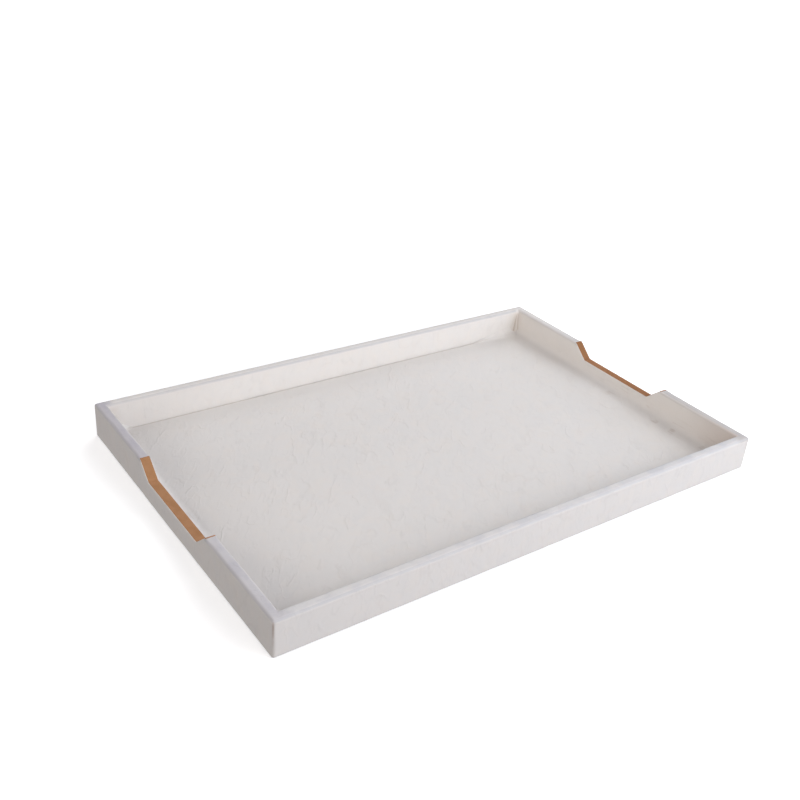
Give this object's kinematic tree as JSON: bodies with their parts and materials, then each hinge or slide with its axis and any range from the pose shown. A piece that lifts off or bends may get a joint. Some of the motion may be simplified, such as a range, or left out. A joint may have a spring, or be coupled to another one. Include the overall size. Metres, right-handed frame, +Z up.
{
  "type": "vanity tray",
  "caption": "Low rectangular dresser tray in crinkled off-white faux leather, with a copper-lined trapezoid hand notch in each short wall and a felt underside.",
  "frame": {"origin": "centre of the tray's outline, on the surface it stands on", "axes": "+X along the length towards the right end, +Y from the front wall to the back wall, +Z up"},
  "size_m": [0.45, 0.3, 0.03],
  "materials": {
    "faux_leather": "satin crinkled polyurethane leather, off-white",
    "copper_trim": "satin copper plate",
    "mdf": "raw fibreboard, hidden",
    "hardboard": "raw hardboard, hidden",
    "card": "grey board, hidden",
    "felt": "warm grey felt",
    "steel_brad": "bright steel brads, hidden"
  },
  "bodies": {
    "root": {"base_board": "hardboard", "front_wall_core": "mdf", "back_wall_core": "mdf", "left_wall_core": "mdf", "right_wall_core": "mdf", "front_leather_wrap": "faux_leather", "back_leather_wrap": "faux_leather", "left_leather_wrap": "faux_leather", "right_leather_wrap": "faux_leather", "floor_card": "card", "floor_leather": "faux_leather", "left_notch_trim": "copper_trim", "right_notch_trim": "copper_trim", "felt_liner": "felt", "corner_brad_front_left_lower": "steel_brad", "corner_brad_front_left_upper": "steel_brad", "corner_brad_front_right_lower": "steel_brad", "corner_brad_front_right_upper": "steel_brad", "corner_brad_back_left_lower": "steel_brad", "corner_brad_back_left_upper": "steel_brad", "corner_brad_back_right_lower": "steel_brad", "corner_brad_back_right_upper": "steel_brad", "base_brad_front_1": "steel_brad", "base_brad_front_2": "steel_brad", "base_brad_front_3": "steel_brad", "base_brad_back_1": "steel_brad", "base_brad_back_2": "steel_brad", "base_brad_back_3": "steel_brad", "base_brad_left_1": "steel_brad", "base_brad_left_2": "steel_brad", "base_brad_right_1": "steel_brad", "base_brad_right_2": "steel_brad"}
  },
  "joints": []
}
